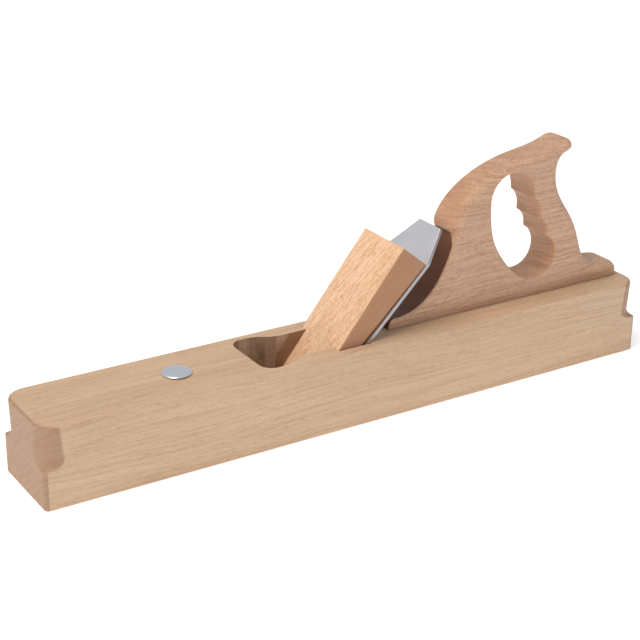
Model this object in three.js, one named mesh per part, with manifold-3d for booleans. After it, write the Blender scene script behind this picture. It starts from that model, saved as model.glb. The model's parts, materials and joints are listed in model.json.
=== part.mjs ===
// Wooden jointer plane: a beech stock with a closed handle, a double iron bedded at 45 degrees,
// a wedge that holds it, and a steel striking button. Millimetres, +Z up, toe at -X, heel at +X.
// The origin is at the middle of the sole.

import * as THREE from 'three';
import { mergeVertices } from 'three/addons/utils/BufferGeometryUtils.js';
import Module from 'manifold-3d';

const wasm = await Module();
wasm.setup();

// ---- Driving dimensions ----------------------------------------------------------------------

const GAP = 0.3; // clearance between pieces that touch
const OVERCUT = 2; // how far a cutting solid runs past the face it opens

const STOCK_LENGTH = 600;
const STOCK_WIDTH = 80;
const STOCK_HEIGHT = 70;
const TOP_EDGE_RADIUS = 2.5;
const SOLE_CHAMFER = 1;
const LOW_CORNER_RADIUS = 4; // upright corners below the cove
const HIGH_CORNER_RADIUS = 18; // upright corners at the top of the stock
const COVE_CORNER_RADIUS = 21; // upright corners just above the cove
const COVE_HEIGHT = 34; // where the upper corner rounding stops, above the sole
const COVE_RISE = 7;

const HANDLE_LENGTH = 262.5;
const HANDLE_THICKNESS = 36;
const HANDLE_EASE = 3; // rounding of the handle's outer edges
const HEEL_MARGIN = 4.5; // bare top between the handle's tail and the heel
const NOSE_CLEARANCE = 1.7; // from the handle's nose to the path of the iron, measured along X
const SCALLOP_DEPTH = 2.5;

const DOWEL_RADIUS = 6;
const DOWEL_LENGTH = 50;
const DOWEL_CHAMFER = 1;
const FRONT_DOWEL_AT = 85; // from the front of the handle's foot
const REAR_DOWEL_AT = 198;

const BED_PITCH = THREE.MathUtils.degToRad(45);
const WEDGE_TAPER = THREE.MathUtils.degToRad(6.5);
const IRON_WIDTH = 60;
const IRON_LENGTH = 217;
const IRON_THICKNESS = 3.2;
const IRON_GRIND = THREE.MathUtils.degToRad(25);
const IRON_SHOULDER_LENGTH = 32.5; // the sloping corners at the iron's top end
const IRON_SHOULDER_WIDTH = 15;
const EDGE_HEIGHT = 0.5; // the iron is set back this far above the sole

const CAP_LENGTH = 96;
const CAP_THICKNESS = 2;
const CAP_INSET = 1; // the cap iron is narrower than the iron by this much on each side
const CAP_SETBACK = 1.5; // from the cutting edge to the cap iron's lip
const CAP_HUMP_LENGTH = 19;
const CAP_HUMP_HEIGHT = 3.2;
const CAP_LIP = 0.4;
const CAP_TRAVEL = 30; // how far the cap iron can be moved up the slot

const SCREW_AT = 72; // up the bed from the sole
const SCREW_HEAD_RADIUS = 9.5;
const SCREW_HEAD_HEIGHT = 3;
const SCREW_RADIUS = 4;
const SCREW_SLOT_WIDTH = 1.6;
const SCREW_SLOT_DEPTH = 1.4;
const SLOT_CLEARANCE = 0.5; // beside the screw in the iron's slot and the bed groove
const BOSS_RADIUS = 8;
const BOSS_HEIGHT = 6;
const SPIGOT_RADIUS = 5.7;

const WEDGE_THICKNESS = 16.7; // where its front face passes the top of the stock
const WEDGE_PROUD = 87.5; // length above the stock, along the bed
const WEDGE_HEAD_GAP = 0.4; // between the iron and the back of the wedge at its top end
const WEDGE_FOOT_AT = 22; // foot of the wedge, up the bed from the sole
const WEDGE_TIP = 3.5; // thickness of the prongs at the foot
const WEDGE_BEVEL_LENGTH = 18;
const WEDGE_EASE = 1;
const FORK_LENGTH = 30;
const PRONG_WIDTH = 9;
const FORK_ROOT_WIDTH = 16;

const MORTISE_CLEARANCE = 0.5; // beside the iron and the wedge
const ABUTMENT_WIDTH = 8;
const MOUTH_GAP = 2; // in front of the iron at the sole
const WEAR_HEIGHT = 15;
const WEAR_LEAN = 2;
const THROAT_REACH = 34.5; // from the foot of the bed to the throat's front edge at the top
const THROAT_FLARE = 1.5; // the throat's front is wider than the mortise by this on each side
const THROAT_CORNER_RADIUS = 12;
const THROAT_NECK_AT = 14; // where the parallel neck between the abutments ends, along X
const THROAT_FLARE_AT = -20; // where the full flare is reached, along X

const BUTTON_AHEAD = 65.5; // from the throat's front edge to the button's centre
const BUTTON_RADIUS = 12.5;
const BUTTON_RIM = 0.8;
const BUTTON_DOME = 2.2;
const BUTTON_SHANK_RADIUS = 5;
const BUTTON_SHANK_LENGTH = 22;

// ---- Solids and geometry ---------------------------------------------------------------------

function toSolid(geometry) {
  const bare = geometry.clone();
  bare.deleteAttribute('normal');
  bare.deleteAttribute('uv');
  const welded = mergeVertices(bare, 1e-4);
  return new wasm.Manifold(new wasm.Mesh({
    numProp: 3,
    vertProperties: new Float32Array(welded.attributes.position.array),
    triVerts: new Uint32Array(welded.index.array),
  }));
}

function toGeometry(solid) {
  const mesh = solid.getMesh();
  const geometry = new THREE.BufferGeometry();
  geometry.setAttribute('position', new THREE.BufferAttribute(mesh.vertProperties, 3));
  geometry.setIndex(new THREE.BufferAttribute(mesh.triVerts, 1));
  geometry.computeVertexNormals();
  return geometry;
}

function polygon(points) {
  return new THREE.Shape(points.map(([x, y]) => new THREE.Vector2(x, y)));
}

// A side profile, drawn in X and Z, made into a solid that is centred across the width.
function acrossWidth(profile, width, ease = 0) {
  const geometry = new THREE.ExtrudeGeometry(profile, {
    depth: width - 2 * ease,
    curveSegments: 7,
    bevelEnabled: ease > 0,
    bevelThickness: ease,
    bevelSize: ease,
    bevelOffset: -ease,
    bevelSegments: 1,
  });
  return geometry.translate(0, 0, ease - width / 2).rotateX(Math.PI / 2);
}

// A plan outline, drawn in X and Y, made into a solid between two heights.
function upright(outline, low, high) {
  const geometry = new THREE.ExtrudeGeometry(outline, {
    depth: high - low, curveSegments: 7, bevelEnabled: false,
  });
  return geometry.translate(0, 0, low);
}

// A turned piece: its profile is [radius, height] pairs, and its axis is Z.
function turned(profile, segments = 32) {
  const points = profile.map(([radius, height]) => new THREE.Vector2(radius, height));
  return new THREE.LatheGeometry(points, segments).rotateX(Math.PI / 2);
}

function roundedRectangle(length, width, radius, segments) {
  const points = [];
  const corners = [[1, 1], [-1, 1], [-1, -1], [1, -1]];
  corners.forEach(([alongX, alongY], corner) => {
    for (let step = 0; step <= segments; step += 1) {
      const angle = (corner + step / segments) * Math.PI / 2;
      points.push([
        alongX * (length / 2 - radius) + radius * Math.cos(angle),
        alongY * (width / 2 - radius) + radius * Math.sin(angle),
      ]);
    }
  });
  return points;
}

// A solid through a stack of level outlines that all have the same number of points.
function stacked(rings, widest) {
  const count = widest.length;
  const positions = rings.flatMap(({ outline, height }) => outline.flatMap(([x, y]) => [x, y, height]));
  const triangles = [];
  for (let level = 0; level < rings.length - 1; level += 1) {
    for (let step = 0; step < count; step += 1) {
      const here = level * count + step;
      const next = level * count + (step + 1) % count;
      triangles.push(here, next, next + count, here, next + count, here + count);
    }
  }
  const top = (rings.length - 1) * count;
  const flat = widest.map(([x, y]) => new THREE.Vector2(x, y));
  THREE.ShapeUtils.triangulateShape(flat, []).forEach(([a, b, c]) => {
    triangles.push(a, c, b, top + a, top + b, top + c);
  });
  const geometry = new THREE.BufferGeometry();
  geometry.setAttribute('position', new THREE.Float32BufferAttribute(positions, 3));
  geometry.setIndex(triangles);
  return geometry;
}

// The outline moved inwards by a distance, point by point, along the mitre of its two edges.
function inset(outline, distance) {
  return outline.map(([x, y], index) => {
    const before = outline[(index + outline.length - 1) % outline.length];
    const after = outline[(index + 1) % outline.length];
    const arriving = new THREE.Vector2(x - before[0], y - before[1]).normalize();
    const leaving = new THREE.Vector2(after[0] - x, after[1] - y).normalize();
    const mitre = new THREE.Vector2(-arriving.y - leaving.y, arriving.x + leaving.x);
    const reach = 2 * distance / mitre.lengthSq();
    return [x + mitre.x * reach, y + mitre.y * reach];
  });
}

// A side profile made into a solid across the width, with its long edges rounded over.
function roundedAcross(profile, width, radius, segments) {
  const points = profile.getPoints(7);
  if (THREE.ShapeUtils.isClockWise(points)) points.reverse();
  const outline = points.map((point) => [point.x, point.y]);
  const rings = [];
  for (const side of [-1, 1]) {
    for (let step = 0; step <= segments; step += 1) {
      const angle = (side < 0 ? step : segments - step) / segments * Math.PI / 2;
      rings.push({
        outline: inset(outline, radius * (1 - Math.sin(angle))),
        height: side * (width / 2 - radius * (1 - Math.cos(angle))),
      });
    }
  }
  return stacked(rings, outline).rotateX(Math.PI / 2);
}

// ---- Handle outline: X from the front of its foot, Z from the top of the stock ------------------

const tail = HANDLE_LENGTH;
const handleOutline = new THREE.Shape();
handleOutline.moveTo(0, -OVERCUT);
handleOutline.lineTo(0, 5);
handleOutline.quadraticCurveTo(0, 10, 6, 10.4); // blunt front of the foot
handleOutline.bezierCurveTo(41, 10.5, 58, 44, 66, 73); // cove behind the iron
handleOutline.bezierCurveTo(67.5, 78, 61, 76.5, 64, 83); // nose
handleOutline.bezierCurveTo(71, 104, 97, 121.5, 128, 129.3); // brow
handleOutline.bezierCurveTo(146, 133.8, 162, 134.3, 176.5, 139.3);
handleOutline.bezierCurveTo(180.5, 140.7, 184, 142.8, 188.5, 142.8);
handleOutline.bezierCurveTo(194.5, 142.8, 201.5, 137, 198, 133.8); // tip of the horn
handleOutline.bezierCurveTo(194, 131.2, 190, 131, 186, 129);
handleOutline.bezierCurveTo(181.5, 126.5, 179.3, 121, 179.3, 114.5); // web of the thumb
handleOutline.bezierCurveTo(179.3, 99, 187, 88, 195, 77);
handleOutline.bezierCurveTo(209, 58, 210, 48, 215.5, 34); // heel of the hand
handleOutline.bezierCurveTo(219, 25, 223, 19.5, 231, 18);
handleOutline.lineTo(tail - 13, 15.5); // tail on the stock
handleOutline.bezierCurveTo(tail - 4, 14, tail, 8, tail, -OVERCUT);

// The opening for the hand: a smooth front, and four finger scallops down the grip.
const gripRidges = [[152.2, 94.8], [160, 73.9], [169.5, 56]].map(([x, z]) => new THREE.Vector2(x, z));
const handOpening = new THREE.Shape();
handOpening.moveTo(128, 122);
handOpening.bezierCurveTo(116, 122, 105.2, 112, 104.9, 99);
handOpening.bezierCurveTo(104.6, 86, 106.5, 71, 110.5, 61);
handOpening.bezierCurveTo(118, 43, 140, 16.8, 158, 16.8);
handOpening.bezierCurveTo(172, 16.8, 180, 26, 180.3, 37.5);
handOpening.bezierCurveTo(180.5, 44, 177, 52, gripRidges[2].x, gripRidges[2].y);
for (let ridge = gripRidges.length - 1; ridge > 0; ridge -= 1) {
  const lower = gripRidges[ridge];
  const upper = gripRidges[ridge - 1];
  const along = upper.clone().sub(lower).normalize();
  const outward = new THREE.Vector2(along.y, -along.x);
  const control = lower.clone().add(upper).multiplyScalar(0.5).addScaledVector(outward, 2 * SCALLOP_DEPTH);
  handOpening.quadraticCurveTo(control.x, control.y, upper.x, upper.y);
}
handOpening.bezierCurveTo(153, 111, 140, 122, 128, 122);

// ---- Places that depend on each other ----------------------------------------------------------

const pitchSine = Math.sin(BED_PITCH);
const pitchCosine = Math.cos(BED_PITCH);
const bedRun = 1 / Math.tan(BED_PITCH);
const taperRise = Math.tan(WEDGE_TAPER);

// The handle is set from the heel, and the bed is set so that the iron's path clears the nose.
const handleFrontX = STOCK_LENGTH / 2 - HEEL_MARGIN - HANDLE_LENGTH;
const noseReach = Math.min(...handleOutline.getPoints(24).map((point) => point.x - point.y * bedRun));
const bedFootX = handleFrontX + noseReach - NOSE_CLEARANCE - STOCK_HEIGHT * bedRun;
const throatFrontX = bedFootX - THROAT_REACH;

// Depths are measured square to the bed.
const ironBack = GAP;
const ironFace = ironBack + IRON_THICKNESS;
const capBack = ironFace + GAP;
const capFace = capBack + CAP_THICKNESS;
const bossBase = capFace + GAP;
const bossTop = bossBase + BOSS_HEIGHT;
const wedgeBack = capFace + GAP;
const ironEdgeAt = (EDGE_HEIGHT - ironFace * pitchCosine) / pitchSine;
const capLipAt = ironEdgeAt + CAP_SETBACK;

// The wedge's front face passes the top of the stock at this depth and distance up the bed.
const wedgeFaceDepth = wedgeBack + WEDGE_THICKNESS;
const wedgeFaceAt = (STOCK_HEIGHT - wedgeFaceDepth * pitchCosine) / pitchSine;
const wedgeTopAt = (STOCK_HEIGHT - wedgeBack * pitchCosine) / pitchSine + WEDGE_PROUD;

const mortiseHalf = IRON_WIDTH / 2 + MORTISE_CLEARANCE;

function wedgeFace(alongBed) {
  return wedgeFaceDepth + (alongBed - wedgeFaceAt) * taperRise;
}

// Pieces that lie on the bed are drawn with X up the bed and Z square to it.
const bedFrame = new THREE.Group();
bedFrame.position.set(bedFootX, 0, 0);
bedFrame.rotation.y = -BED_PITCH;
bedFrame.updateMatrix();

function onBed(geometry) {
  return geometry.applyMatrix4(bedFrame.matrix);
}

// ---- Stock -------------------------------------------------------------------------------------

function stockBlank() {
  const ring = (height, radius, inset) => ({
    height,
    outline: roundedRectangle(STOCK_LENGTH - 2 * inset, STOCK_WIDTH - 2 * inset, radius - inset, 6),
  });
  const rings = [
    ring(0, LOW_CORNER_RADIUS, SOLE_CHAMFER),
    ring(SOLE_CHAMFER, LOW_CORNER_RADIUS, 0),
    ring(COVE_HEIGHT, LOW_CORNER_RADIUS, 0),
  ];
  const coveSteps = 5;
  for (let step = 1; step <= coveSteps; step += 1) {
    const angle = step / coveSteps * Math.PI / 2;
    const radius = THREE.MathUtils.lerp(LOW_CORNER_RADIUS, COVE_CORNER_RADIUS, Math.sin(angle));
    rings.push(ring(COVE_HEIGHT + COVE_RISE * (1 - Math.cos(angle)), radius, 0));
  }
  const edgeSteps = 3;
  for (let step = 0; step <= edgeSteps; step += 1) {
    const angle = step / edgeSteps * Math.PI / 2;
    const inset = TOP_EDGE_RADIUS * (1 - Math.cos(angle));
    const height = STOCK_HEIGHT - TOP_EDGE_RADIUS * (1 - Math.sin(angle));
    rings.push(ring(height, HIGH_CORNER_RADIUS, inset));
  }
  return toSolid(stacked(rings, rings[1].outline));
}

// Everything between the bed and the front wall of the throat, cut to one width.
function throatSection(width) {
  const mouthX = -ironFace / pitchSine - MOUTH_GAP;
  const wallSlope = (THROAT_REACH + mouthX - WEAR_LEAN) / (STOCK_HEIGHT - WEAR_HEIGHT);
  const profile = polygon([
    [mouthX, -OVERCUT],
    [-OVERCUT * bedRun, -OVERCUT],
    [(STOCK_HEIGHT + OVERCUT) * bedRun, STOCK_HEIGHT + OVERCUT],
    [-THROAT_REACH - OVERCUT * wallSlope, STOCK_HEIGHT + OVERCUT],
    [mouthX - WEAR_LEAN, WEAR_HEIGHT],
    [mouthX, 0],
  ]);
  return toSolid(acrossWidth(profile, width).translate(bedFootX, 0, 0));
}

// The slot that holds the iron and the wedge, up to the faces that the wedge jams against.
function mortise() {
  const low = -STOCK_HEIGHT;
  const high = 3 * STOCK_HEIGHT;
  const slab = polygon([
    [low, -OVERCUT],
    [high, -OVERCUT],
    [high, wedgeFace(high) + GAP],
    [low, wedgeFace(low) + GAP],
  ]);
  const solid = toSolid(onBed(acrossWidth(slab, 2 * mortiseHalf)));
  return solid.intersect(throatSection(2 * mortiseHalf));
}

// The shavings' way out: a neck between the abutments that flares towards a rounded front.
function throat() {
  const neckHalf = mortiseHalf - ABUTMENT_WIDTH;
  const flareHalf = mortiseHalf + THROAT_FLARE;
  const front = -THROAT_REACH - OVERCUT;
  const cornerX = -THROAT_REACH + THROAT_CORNER_RADIUS;
  const cornerY = flareHalf - THROAT_CORNER_RADIUS;
  const bend = (THROAT_NECK_AT - THROAT_FLARE_AT) / 2;
  const back = STOCK_HEIGHT * bedRun + OVERCUT;
  const outline = new THREE.Shape();
  outline.moveTo(back, -neckHalf);
  outline.lineTo(back, neckHalf);
  outline.lineTo(THROAT_NECK_AT, neckHalf);
  outline.bezierCurveTo(
    THROAT_NECK_AT - bend, neckHalf, THROAT_FLARE_AT + bend, flareHalf, THROAT_FLARE_AT, flareHalf,
  );
  outline.lineTo(cornerX, flareHalf);
  outline.absarc(cornerX, cornerY, THROAT_CORNER_RADIUS, Math.PI / 2, Math.PI, false);
  outline.lineTo(front, cornerY);
  outline.lineTo(front, -cornerY);
  outline.lineTo(-THROAT_REACH, -cornerY);
  outline.absarc(cornerX, -cornerY, THROAT_CORNER_RADIUS, Math.PI, 1.5 * Math.PI, false);
  outline.lineTo(THROAT_FLARE_AT, -flareHalf);
  outline.bezierCurveTo(
    THROAT_FLARE_AT + bend, -flareHalf, THROAT_NECK_AT - bend, -neckHalf, THROAT_NECK_AT, -neckHalf,
  );
  const column = upright(outline, -OVERCUT, STOCK_HEIGHT + OVERCUT).translate(bedFootX, 0, 0);
  return toSolid(column).intersect(throatSection(2 * flareHalf));
}

// A groove down the bed, in which the head of the cap iron's screw lies and slides.
function bedGroove() {
  const half = SCREW_HEAD_RADIUS + SLOT_CLEARANCE;
  const outline = new THREE.Shape();
  const end = (STOCK_HEIGHT + OVERCUT) / pitchSine + half;
  outline.moveTo(end, -half);
  outline.lineTo(end, half);
  outline.lineTo(SCREW_AT, half);
  outline.absarc(SCREW_AT, 0, half + OVERCUT, Math.PI / 2, 1.5 * Math.PI, false);
  outline.lineTo(SCREW_AT, -half);
  const depth = SCREW_HEAD_HEIGHT + 2 * GAP;
  return toSolid(onBed(upright(outline, -depth, OVERCUT)));
}

function dowelHole(fromFoot) {
  const depth = DOWEL_LENGTH / 2 + GAP;
  const hole = new THREE.CylinderGeometry(DOWEL_RADIUS + GAP, DOWEL_RADIUS + GAP, 2 * depth, 24);
  hole.rotateX(Math.PI / 2).translate(handleFrontX + fromFoot, 0, STOCK_HEIGHT);
  return toSolid(hole);
}

function buttonHole() {
  const radius = BUTTON_SHANK_RADIUS + GAP;
  const depth = BUTTON_SHANK_LENGTH + GAP;
  const hole = new THREE.CylinderGeometry(radius, radius, depth + OVERCUT, 24);
  hole.rotateX(Math.PI / 2);
  return toSolid(hole.translate(throatFrontX - BUTTON_AHEAD, 0, STOCK_HEIGHT + (OVERCUT - depth) / 2));
}

function stock() {
  return [
    mortise(), throat(), bedGroove(), buttonHole(),
    dowelHole(FRONT_DOWEL_AT), dowelHole(REAR_DOWEL_AT),
  ].reduce((solid, cut) => solid.subtract(cut), stockBlank());
}

// ---- Handle and dowels ---------------------------------------------------------------------------

function handle() {
  const place = (geometry) => geometry.translate(handleFrontX, 0, STOCK_HEIGHT);
  const body = toSolid(place(roundedAcross(handleOutline, HANDLE_THICKNESS, HANDLE_EASE, 2)));
  const opening = toSolid(place(acrossWidth(handOpening, HANDLE_THICKNESS + 2 * OVERCUT)));
  const below = upright(polygon([
    [-OVERCUT, -STOCK_WIDTH], [HANDLE_LENGTH + OVERCUT, -STOCK_WIDTH],
    [HANDLE_LENGTH + OVERCUT, STOCK_WIDTH], [-OVERCUT, STOCK_WIDTH],
  ]), -STOCK_HEIGHT, GAP);
  return body
    .subtract(opening)
    .subtract(toSolid(place(below)))
    .subtract(dowelHole(FRONT_DOWEL_AT))
    .subtract(dowelHole(REAR_DOWEL_AT));
}

function dowel() {
  const half = DOWEL_LENGTH / 2;
  return turned([
    [0, -half], [DOWEL_RADIUS - DOWEL_CHAMFER, -half], [DOWEL_RADIUS, DOWEL_CHAMFER - half],
    [DOWEL_RADIUS, half - DOWEL_CHAMFER], [DOWEL_RADIUS - DOWEL_CHAMFER, half], [0, half],
  ], 24);
}

// ---- Striking button -------------------------------------------------------------------------------

function strikingButton() {
  const dome = [];
  const steps = 6;
  for (let step = 0; step <= steps; step += 1) {
    const angle = step / steps * Math.PI / 2;
    dome.push([BUTTON_RADIUS * Math.cos(angle), BUTTON_RIM + BUTTON_DOME * Math.sin(angle)]);
  }
  dome[steps][0] = 0;
  return turned([
    [0, -BUTTON_SHANK_LENGTH], [BUTTON_SHANK_RADIUS, -BUTTON_SHANK_LENGTH],
    [BUTTON_SHANK_RADIUS, 0], [BUTTON_RADIUS, 0], ...dome,
  ]);
}

// ---- Double iron -----------------------------------------------------------------------------------

function cuttingIron() {
  const half = IRON_WIDTH / 2;
  const top = ironEdgeAt + IRON_LENGTH;
  const outline = polygon([
    [ironEdgeAt, -half], [top - IRON_SHOULDER_LENGTH, -half], [top, IRON_SHOULDER_WIDTH - half],
    [top, half - IRON_SHOULDER_WIDTH], [top - IRON_SHOULDER_LENGTH, half], [ironEdgeAt, half],
  ]);
  // A keyhole slot: the screw's shank runs in the slot, and its head passes the round end.
  const slotHalf = SCREW_RADIUS + SLOT_CLEARANCE;
  const holeRadius = SCREW_HEAD_RADIUS + SLOT_CLEARANCE;
  const slotEnd = SCREW_AT + CAP_TRAVEL;
  const holeAt = slotEnd + slotHalf + holeRadius;
  const neckAngle = Math.asin(slotHalf / holeRadius);
  const slot = new THREE.Path();
  slot.absarc(SCREW_AT, 0, slotHalf, Math.PI / 2, 1.5 * Math.PI, false);
  slot.absarc(holeAt, 0, holeRadius, -Math.PI + neckAngle, Math.PI - neckAngle, false);
  outline.holes.push(slot);
  const plate = toSolid(upright(outline, ironBack, ironFace));
  const grindLength = IRON_THICKNESS / Math.tan(IRON_GRIND);
  const grind = polygon([
    [ironEdgeAt - grindLength, ironBack - IRON_THICKNESS],
    [ironEdgeAt + 2 * grindLength, ironBack - IRON_THICKNESS],
    [ironEdgeAt - grindLength, ironFace + IRON_THICKNESS],
  ]);
  return plate.subtract(toSolid(acrossWidth(grind, IRON_WIDTH + 2 * OVERCUT)));
}

function capIron() {
  const hump = capLipAt + CAP_HUMP_LENGTH / 2;
  const humpEnd = capLipAt + CAP_HUMP_LENGTH;
  const reach = CAP_HUMP_LENGTH / 4;
  const under = capBack + CAP_HUMP_HEIGHT;
  const over = capFace + CAP_HUMP_HEIGHT;
  const profile = new THREE.Shape();
  profile.moveTo(capLipAt, capBack);
  profile.quadraticCurveTo(hump - reach, under, hump, under);
  profile.bezierCurveTo(hump + reach, under, humpEnd - reach, capBack, humpEnd, capBack);
  profile.lineTo(capLipAt + CAP_LENGTH, capBack);
  profile.lineTo(capLipAt + CAP_LENGTH, capFace);
  profile.lineTo(humpEnd, capFace);
  profile.bezierCurveTo(humpEnd - reach, capFace, hump + reach, over, hump, over);
  profile.quadraticCurveTo(hump - reach, over, capLipAt, capBack + CAP_LIP);
  const plate = toSolid(acrossWidth(profile, IRON_WIDTH - 2 * CAP_INSET));
  const hole = new THREE.CylinderGeometry(SPIGOT_RADIUS + GAP, SPIGOT_RADIUS + GAP, 4 * capFace, 32);
  return plate.subtract(toSolid(hole.rotateX(Math.PI / 2).translate(SCREW_AT, 0, 0)));
}

// The threaded boss is riveted to the cap iron by a spigot that fills the hole in it.
function capBoss() {
  const bore = SCREW_RADIUS + GAP;
  return turned([
    [bore, capBack], [SPIGOT_RADIUS, capBack], [SPIGOT_RADIUS, bossBase], [BOSS_RADIUS, bossBase],
    [BOSS_RADIUS, bossTop - WEDGE_EASE], [BOSS_RADIUS - WEDGE_EASE, bossTop], [bore, bossTop],
    [bore, capBack],
  ]);
}

function capScrew() {
  const bevel = SCREW_HEAD_HEIGHT / 4;
  const blank = turned([
    [0, -SCREW_HEAD_HEIGHT], [SCREW_HEAD_RADIUS - bevel, -SCREW_HEAD_HEIGHT],
    [SCREW_HEAD_RADIUS, bevel - SCREW_HEAD_HEIGHT], [SCREW_HEAD_RADIUS, 0],
    [SCREW_RADIUS, 0], [SCREW_RADIUS, bossTop], [0, bossTop],
  ]);
  const slot = new THREE.BoxGeometry(3 * SCREW_HEAD_RADIUS, SCREW_SLOT_WIDTH, 2 * SCREW_SLOT_DEPTH);
  return toSolid(blank).subtract(toSolid(slot.translate(0, 0, -SCREW_HEAD_HEIGHT)));
}

// ---- Wedge -------------------------------------------------------------------------------------------

function wedge() {
  const bevelEnd = WEDGE_FOOT_AT + WEDGE_BEVEL_LENGTH;
  // The top end is square to the front face.
  const frontTop = (wedgeTopAt - (wedgeFace(0) - wedgeBack) * taperRise) / (1 + taperRise ** 2);
  // Above the cap iron the back leans in towards the iron.
  const profile = polygon([
    [WEDGE_FOOT_AT, wedgeBack],
    [capLipAt + CAP_LENGTH + WEDGE_EASE, wedgeBack],
    [wedgeTopAt, ironFace + WEDGE_HEAD_GAP],
    [frontTop, wedgeFace(frontTop)],
    [bevelEnd, wedgeFace(bevelEnd)],
    [WEDGE_FOOT_AT, wedgeBack + WEDGE_TIP],
  ]);
  const blank = toSolid(acrossWidth(profile, IRON_WIDTH, WEDGE_EASE));
  const high = 2 * wedgeFaceDepth;
  // The foot is forked, so that shavings pass between its prongs.
  const forkHalf = IRON_WIDTH / 2 - PRONG_WIDTH;
  const fork = upright(polygon([
    [WEDGE_FOOT_AT - OVERCUT, -forkHalf], [WEDGE_FOOT_AT + FORK_LENGTH, -FORK_ROOT_WIDTH / 2],
    [WEDGE_FOOT_AT + FORK_LENGTH, FORK_ROOT_WIDTH / 2], [WEDGE_FOOT_AT - OVERCUT, forkHalf],
  ]), -OVERCUT, high);
  // A groove in the back clears the threaded boss of the cap iron as the wedge is driven.
  const grooveHalf = BOSS_RADIUS + SLOT_CLEARANCE;
  const groove = new THREE.Shape();
  groove.moveTo(WEDGE_FOOT_AT - OVERCUT, -grooveHalf);
  groove.lineTo(SCREW_AT, -grooveHalf);
  groove.absarc(SCREW_AT, 0, grooveHalf, -Math.PI / 2, Math.PI / 2, false);
  groove.lineTo(WEDGE_FOOT_AT - OVERCUT, grooveHalf);
  return blank
    .subtract(toSolid(fork))
    .subtract(toSolid(upright(groove, -OVERCUT, bossTop + SLOT_CLEARANCE)));
}

// ---- Materials and assembly -------------------------------------------------------------------------

function finish(color, roughness, metalness = 0) {
  return new THREE.MeshStandardMaterial({ color, roughness, metalness });
}

function piece(name, shape, material) {
  const geometry = shape.isBufferGeometry ? shape : toGeometry(shape);
  const mesh = new THREE.Mesh(geometry, material);
  mesh.name = name;
  return mesh;
}

const beech = finish(0xcfa985, 0.6);
const handleBeech = finish(0xbf9374, 0.55);
const wedgeBeech = finish(0xd9b08c, 0.6);
const dowelBeech = finish(0xd2b48c, 0.7);
const toolSteel = finish(0xb7b4b7, 0.35, 1);
const capSteel = finish(0x8e8d90, 0.4, 1);
const brightSteel = finish(0xc0c6c9, 0.25, 1);

const jointerPlane = new THREE.Group();
jointerPlane.add(piece('stock', stock(), beech));
jointerPlane.add(piece('handle', handle(), handleBeech));
[['handle_dowel_front', FRONT_DOWEL_AT], ['handle_dowel_rear', REAR_DOWEL_AT]].forEach(([name, at]) => {
  const pin = piece(name, dowel(), dowelBeech);
  pin.position.set(handleFrontX + at, 0, STOCK_HEIGHT);
  jointerPlane.add(pin);
});

const button = piece('striking_button', strikingButton(), brightSteel);
button.position.set(throatFrontX - BUTTON_AHEAD, 0, STOCK_HEIGHT + GAP);
jointerPlane.add(button);

const screw = piece('cap_screw', capScrew(), brightSteel);
screw.position.x = SCREW_AT;
const boss = piece('cap_boss', capBoss(), brightSteel);
boss.position.x = SCREW_AT;
bedFrame.add(piece('cutting_iron', cuttingIron(), toolSteel));
bedFrame.add(piece('cap_iron', capIron(), capSteel));
bedFrame.add(boss, screw);
bedFrame.add(piece('wedge', wedge(), wedgeBeech));
jointerPlane.add(bedFrame);

export default jointerPlane;
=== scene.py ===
# %% [markdown]
# # A wooden jointer plane
# A long beech plane: a stock with a closed handle, a double iron on a 45 degree bed, a wedge that
# holds it, and a steel button that is struck to loosen the wedge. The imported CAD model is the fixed
# frame: it says where each piece is, and how big. Here each piece gets the surface that a plane
# maker gives it: rounded grips, eased edges, ground steel, and beech with its growth rings and rays.

# %% Load the frame
import json
from math import cos, pi, radians, sin

import bmesh
import bpy
import numpy as np
from mathutils import Matrix, Vector
from mathutils.geometry import delaunay_2d_cdt, interpolate_bezier

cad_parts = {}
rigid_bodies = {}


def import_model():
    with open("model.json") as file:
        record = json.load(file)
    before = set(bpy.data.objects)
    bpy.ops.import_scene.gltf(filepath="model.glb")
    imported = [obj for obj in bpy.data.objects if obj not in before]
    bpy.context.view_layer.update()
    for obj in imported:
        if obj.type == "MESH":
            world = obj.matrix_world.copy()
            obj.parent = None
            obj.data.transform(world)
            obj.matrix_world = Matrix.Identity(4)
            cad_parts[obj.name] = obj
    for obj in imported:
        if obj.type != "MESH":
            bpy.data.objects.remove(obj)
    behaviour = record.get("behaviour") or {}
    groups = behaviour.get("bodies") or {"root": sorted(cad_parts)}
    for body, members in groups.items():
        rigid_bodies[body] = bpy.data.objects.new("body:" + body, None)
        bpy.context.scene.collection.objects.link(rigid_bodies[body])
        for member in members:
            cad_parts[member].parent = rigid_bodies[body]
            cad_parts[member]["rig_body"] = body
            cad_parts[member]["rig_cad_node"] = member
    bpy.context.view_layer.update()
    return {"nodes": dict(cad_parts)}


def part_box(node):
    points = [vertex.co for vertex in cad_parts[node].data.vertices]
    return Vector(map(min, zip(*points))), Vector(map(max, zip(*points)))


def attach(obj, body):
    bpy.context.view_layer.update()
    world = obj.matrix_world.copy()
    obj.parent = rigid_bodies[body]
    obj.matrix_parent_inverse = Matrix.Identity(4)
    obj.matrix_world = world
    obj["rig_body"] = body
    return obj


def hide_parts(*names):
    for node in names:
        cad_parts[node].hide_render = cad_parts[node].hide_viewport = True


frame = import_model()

MM = 0.001
nodes = frame["nodes"]
stock_low, stock_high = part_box("stock")
stock_top = stock_high.z
print("nodes", sorted(nodes), "stock top at", round(stock_top, 4), "m")

# %% [markdown]
# ## The camera
# A long lens from the front left, a little above the plane, so that the long stock runs away to the
# right without much convergence. The camera is aimed at a point above the throat.

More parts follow.
